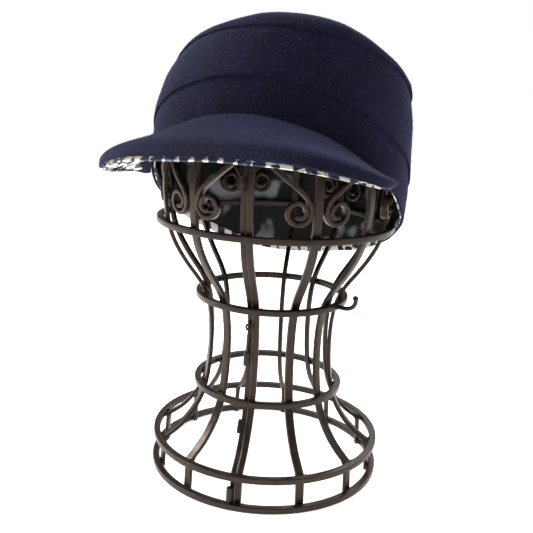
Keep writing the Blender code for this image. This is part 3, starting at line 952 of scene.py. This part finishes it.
@dataclass
class Stand:
    """The iron bars, rings and scrolls, each eased along its edges, and the welds."""

    material: bpy.types.Material
    rings: tuple[str, ...] = ("base_ring_low", "base_ring_up", "neck_ring_low",
                              "neck_ring_up", "brow_ring")
    rib_count: int = 12
    arch_count: int = 6
    barrels: tuple[int, ...] = (0, 1, 2, 4)     # the latch takes the place of 3
    first_rib: float = 10.0         # degrees from the front
    ease: float = 0.0006            # bevel along the edges of rings and ribs
    small_ease: float = 0.0004      # the same along the smaller bars
    ease_angle: float = 38.0        # degrees of bend that count as an edge
    scroll_fuller: float = 0.0004
    rear_ribs: tuple[int, ...] = (4, 5, 6, 7, 8)
    front_slimmer: float = 0.22     # share that a rib loses of its width
    rear_slimmer: float = 0.40
    rear_fade: float = 0.012        # below the brow ring, over which that sets in
    hook_degrees: float = 78.0
    hook_radius: float = 0.0016
    hook_ball: float = 1.35         # of the wire's radius
    hook_path: tuple[tuple[float, float], ...] = (      # out from the ring, and up
        (-0.0015, 0.0002), (0.0012, 0.0000), (0.0042, -0.0002), (0.0080, 0.0003),
        (0.0112, 0.0020), (0.0129, 0.0046), (0.0134, 0.0070), (0.0130, 0.0088))
    latch_shift: float = 0.0012
    eye_radius: float = 0.0022
    eye_wire: float = 0.0008
    eye_rise: float = 0.0015
    pin_radius: float = 0.0011
    shank: tuple[float, ...] = (0.0009, 0.0013, 0.0011, 0.0009, 0.0010)     # radii, downwards
    dent: float = 0.06              # of a ball's radius
    dent_pitch: float = 1.3
    weld_size: tuple[float, float, float] = (0.0019, 0.0016, 0.0024)
    weld_spread: float = 0.0031     # from the middle of the rib, to each side
    weld_inset: float = 0.0006
    weld_wander: float = 0.0003
    weld_scale: tuple[float, float] = (0.8, 1.15)
    weld_lump: float = 0.22
    weld_pitch: float = 1.7
    ring_width: float = 0.005
    bar_bend: float = 24.0          # degrees of bend at which a bar is fully rubbed
    round_bend: float = 90.0        # the same on round things, which are rubbed less
    seed: int = 11

    def heading(self, k: int) -> float:
        """Give a rib's direction.

        Args:
            k: The rib's number.

        Returns:
            Radians from the front towards the wearer's left.
        """
        return math.radians(self.first_rib + FULL_TURN / self.rib_count * k)

    def iron(self, node: str, ease: float, levels: int, fuller: float = 0.0) -> bpy.types.Object:
        """Copy one bar, ease its edges and mark them for wear.

        Args:
            node: The CAD node.
            ease: Width of the eased edge.
            levels: Subdivision levels.
            fuller: How much the bar is thickened on each side.

        Returns:
            The dressed piece.
        """
        piece = copied(node, node + "_iron")
        finish_with(piece, "BEVEL", width=ease, segments=2, limit_method="ANGLE",
                    angle_limit=math.radians(self.ease_angle), use_clamp_overlap=True)
        soften(piece, levels)
        if fuller:
            for vertex in piece.data.vertices:
                vertex.co += vertex.normal * fuller
        if node.startswith("rib_"):
            self.slim(piece, int(node[-2:]))
        self.mark_edges(piece, self.bar_bend)
        return dress(piece, self.material, (node,))

    def slim(self, piece: bpy.types.Object, k: int) -> None:
        """Narrow the front rib from its free side, and the rear ribs about their middles.

        The front rib shares its place with the hinge bar. The rear ones keep their width
        in the dome, where the scrolls stand against them.

        Args:
            piece: The rib.
            k: Its number.
        """
        if k and k not in self.rear_ribs:
            return
        along = Vector((math.cos(self.heading(k)), math.sin(self.heading(k)), 0.0))
        reaches = [vertex.co.dot(along) for vertex in piece.data.vertices]
        hinge_side, middle = min(reaches), (min(reaches) + max(reaches)) / 2
        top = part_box("brow_ring")[0].z
        for vertex, reach in zip(piece.data.vertices, reaches):
            if k:
                share = min(1.0, max(0.0, (top - vertex.co.z) / self.rear_fade))
                vertex.co += along * (middle - reach) * self.rear_slimmer * share
            else:
                vertex.co += along * (hinge_side - reach) * self.front_slimmer

    @staticmethod
    def mark_edges(piece: bpy.types.Object, full_at: float) -> None:
        """Store how strongly the surface bends at each point, for the wear.

        Args:
            piece: The object.
            full_at: Degrees of bend that count as a sharp edge.
        """
        work = bmesh.new()
        work.from_mesh(piece.data)
        marks = []
        for vertex in work.verts:
            bend = 0.0
            for edge in vertex.link_edges:
                if len(edge.link_faces) == 2 and edge.is_convex:
                    bend = max(bend, edge.calc_face_angle(0.0))
            marks.append(min(1.0, bend / math.radians(full_at)))
        work.free()
        layer = piece.data.attributes.new(WEAR, "FLOAT", "POINT")
        layer.data.foreach_set("value", marks)

    def welds(self) -> bpy.types.Object:
        """Model one weld bead and copy it to each crossing of rib and ring.

        Returns:
            The dressed beads.
        """
        rng = random.Random(self.seed)
        bead = primitive(bpy.ops.mesh.primitive_ico_sphere_add, subdivisions=2, radius=1.0)
        for vertex in bead.data.vertices:
            vertex.co *= 1.0 + self.weld_lump * noise.noise(vertex.co * self.weld_pitch)
        beads = []
        for ring in self.rings:
            low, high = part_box(ring)
            centre = (low + high) / 2
            inner = (high.x - low.x) / 2 - self.ring_width
            for k in range(self.rib_count):
                slimmed = k in self.rear_ribs and ring != "brow_ring"
                spread = self.weld_spread * (1.0 - self.rear_slimmer if slimmed else 1.0)
                for side in (-1, 1):
                    turn = self.heading(k) + side * spread / inner
                    outwards = Vector((math.sin(turn), -math.cos(turn), 0.0))
                    place = centre + outwards * (inner - self.weld_inset)
                    place.z += rng.uniform(-self.weld_wander, self.weld_wander)
                    size = [s * rng.uniform(*self.weld_scale) for s in self.weld_size]
                    size[2] = min(size[2], place.z - low.z)
                    copy = placed("weld_bead", bead.data.copy())
                    copy.data.transform(Matrix.Translation(place) @ Matrix.Rotation(turn, 4, "Z")
                                        @ Matrix.Diagonal((*size, 1.0)))
                    beads.append(copy)
        bpy.data.objects.remove(bead)
        piece = joined(beads, "weld_beads")
        piece.data.shade_smooth()
        self.mark_edges(piece, self.round_bend)
        return dress(piece, self.material)

    def ball(self, place: Vector, radius: float) -> bpy.types.Object:
        """Add a small hammered ball.

        Args:
            place: Its middle.
            radius: Its radius.

        Returns:
            The ball.
        """
        piece = primitive(bpy.ops.mesh.primitive_ico_sphere_add, subdivisions=3, radius=radius)
        for vertex in piece.data.vertices:
            swell = 1.0 + self.dent * noise.noise(vertex.co / radius * self.dent_pitch)
            vertex.co = vertex.co * swell + place
        piece.data.shade_smooth()
        return piece

    def hook(self) -> bpy.types.Object:
        """Bend the wire hook that is welded to the upper neck ring and ends in a ball.

        Returns:
            The dressed hook.
        """
        low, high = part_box("neck_ring_up")
        centre = (low + high) / 2
        edge = (high.x - low.x) / 2
        angle = math.radians(self.hook_degrees)
        away = Vector((math.sin(angle), -math.cos(angle), 0.0))
        path = [centre + away * (edge + out) + Vector((0.0, 0.0, rise))
                for out, rise in self.hook_path]
        wire = tube("side_hook_wire", path, [self.hook_radius] * len(path))
        end = self.ball(path[-1], self.hook_radius * self.hook_ball)
        piece = joined([wire, end], "side_hook_iron")
        self.mark_edges(piece, self.round_bend)
        return dress(piece, self.material, ("side_hook",))

    def latch(self) -> bpy.types.Object:
        """Make the eye and shank that hold the hinged bar shut.

        Returns:
            The dressed latch.
        """
        angle = self.heading(0)
        along = Vector((math.cos(angle), math.sin(angle), 0.0))
        seat = middle_of("hinge_barrel_3") + along * self.latch_shift
        foot = middle_of("hinge_barrel_2")
        foot.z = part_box("hinge_barrel_2")[1].z
        eye = seat + Vector((0.0, 0.0, self.eye_rise))
        ring = primitive(bpy.ops.mesh.primitive_torus_add, major_radius=self.eye_radius,
                         minor_radius=self.eye_wire, major_segments=24, minor_segments=10,
                         rotation=(math.radians(90), 0.0, angle))
        bpy.ops.object.transform_apply(location=True, rotation=True, scale=True)
        ring.data.transform(Matrix.Translation(eye))
        ring.data.shade_smooth()
        start = seat - Vector((0.0, 0.0, self.eye_wire))
        last = len(self.shank) - 1
        shank = tube("latch_shank", [start.lerp(foot, i / last) for i in range(last + 1)],
                     list(self.shank))
        piece = joined([ring, shank, self.ball(eye, self.pin_radius)], "latch_iron")
        self.mark_edges(piece, self.round_bend)
        return dress(piece, self.material, ("hinge_barrel_3",))

    def build(self) -> list[bpy.types.Object]:
        """Build and dress the stand.

        Returns:
            The pieces.
        """
        made = [self.iron(ring, self.ease, 2) for ring in self.rings]
        made += [self.iron(f"rib_{k:02d}", self.ease, 1) for k in range(self.rib_count)]
        made.append(self.iron("hinge_bar", self.small_ease, 1))
        made += [self.iron(f"scroll_{k}_{side}", self.small_ease, 1, self.scroll_fuller)
                 for k in range(self.arch_count) for side in ("left", "right")]
        made += [self.iron(f"hinge_barrel_{k}", self.small_ease, 1) for k in self.barrels]
        made.append(self.latch())
        made.append(self.hook())
        made.append(self.iron("top_boss", self.ease, 2))
        made.append(self.welds())
        return made


# Studio


@dataclass(frozen=True)
class Lamp:
    """A square soft light that is turned towards the object."""

    name: str
    place: tuple[float, float, float]
    size: float
    watts: float


@dataclass
class Studio:
    """White sweep, soft lights and the photograph's camera."""

    paper: bpy.types.Material
    distance: float = 0.5348        # camera to the stand's axis
    height: float = 0.2808
    pitch: float = 0.2314           # radians, as are yaw and roll
    yaw: float = -0.0095
    roll: float = 0.0497
    turn: float = math.radians(21.0)
    lens_px: float = 724.5
    frame_px: float = 533.0
    sensor_mm: float = 36.0
    near_clip: float = 0.01
    floor_size: float = 8.0
    floor_drop: float = 0.0002
    surround_light: float = 0.44    # on the object; the camera sees it at full strength
    aim: tuple[float, float, float] = (0.0, 0.0, 0.2)
    lamps: tuple[Lamp, ...] = (
        Lamp("key", (-1.05, -0.30, 1.00), 0.6, 27.0),
        Lamp("front", (0.20, -1.25, 0.45), 0.9, 2.0),
        Lamp("fill", (0.95, 0.25, 0.85), 0.7, 2.5),
        Lamp("rim", (0.0, 0.95, 1.05), 0.8, 9.0),
    )

    def floor(self) -> None:
        """Lay the paper flat, a hair under the stand's lowest ring."""
        plane = primitive(bpy.ops.mesh.primitive_plane_add, size=self.floor_size,
                          location=(0.0, 0.0, -self.floor_drop))
        plane.name = "paper_sweep"
        plane.data.materials.append(self.paper)
        plane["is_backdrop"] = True

    def camera(self) -> None:
        """Place the camera that the photograph was solved for."""
        axis = middle_of("base_ring_low")
        cos_t, sin_t = math.cos(self.turn), math.sin(self.turn)

        def to_world(v: Vector) -> Vector:
            """Turn a vector of the solved camera's frame into the model's frame.

            Args:
                v: The vector.

            Returns:
                The turned vector.
            """
            return Vector((v.x * cos_t - v.y * sin_t, v.x * sin_t + v.y * cos_t, v.z))

        cp, sp = math.cos(self.pitch), math.sin(self.pitch)
        cy, sy = math.cos(self.yaw), math.sin(self.yaw)
        ahead = Vector((sy * cp, cy * cp, -sp))
        right = Vector((cy, -sy, 0.0))
        up = right.cross(ahead)
        cr, sr = math.cos(self.roll), math.sin(self.roll)
        right, up = right * cr + up * sr, up * cr - right * sr
        columns = [to_world(right), to_world(up), to_world(-ahead)]
        lens = bpy.data.cameras.new("camera")
        lens.sensor_width = self.sensor_mm
        lens.lens = self.sensor_mm * self.lens_px / self.frame_px
        lens.clip_start = self.near_clip
        holder = placed("camera", lens)
        matrix = Matrix(columns).transposed().to_4x4()
        matrix.translation = Vector((axis.x + self.distance * sin_t,
                                     axis.y - self.distance * cos_t, self.height))
        holder.matrix_world = matrix
        bpy.context.scene.camera = holder

    def light(self) -> None:
        """Hang the soft lights and a bright white surround."""
        for lamp in self.lamps:
            light = bpy.data.lights.new(lamp.name, "AREA")
            light.size = lamp.size
            light.energy = lamp.watts
            holder = placed(lamp.name, light)
            holder.location = lamp.place
            towards = Vector(self.aim) - Vector(lamp.place)
            holder.rotation_euler = towards.to_track_quat("-Z", "Y").to_euler()
        world = bpy.data.worlds.new("white surround")
        world.use_nodes = True
        tree = world.node_tree
        seen = add(tree, "ShaderNodeLightPath").outputs["Is Camera Ray"]
        strength = add(tree, "ShaderNodeMapRange", {"Value": seen},
                       {"To Min": self.surround_light, "To Max": 1.0})
        back = tree.nodes["Background"]
        back.inputs["Color"].default_value = (1.0, 1.0, 1.0, 1.0)
        tree.links.new(strength.outputs[0], back.inputs["Strength"])
        bpy.context.scene.world = world
        bpy.context.scene.view_settings.view_transform = "Standard"

    def build(self) -> None:
        """Build the stage."""
        self.floor()
        self.camera()
        self.light()


def main() -> None:
    """Build the object piece by piece, then the studio round it."""
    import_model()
    noise.seed_set(NOISE_SEED)
    wool = BrushedWool().build()
    check = CheckedCotton().build()
    lining = PrintedLining().build()
    iron = BronzedIron().build()
    crown = Crown(wool).build()
    peak = Peak(wool, check).build()
    Inside(check, lining).build()
    Nap(WoolFibre().build()).build(crown + peak[:1])
    Stand(iron).build()
    Studio(PaleSweep().build()).build()


if __name__ == "__main__":
    logging.basicConfig(level=logging.INFO, format="%(message)s")
    main()
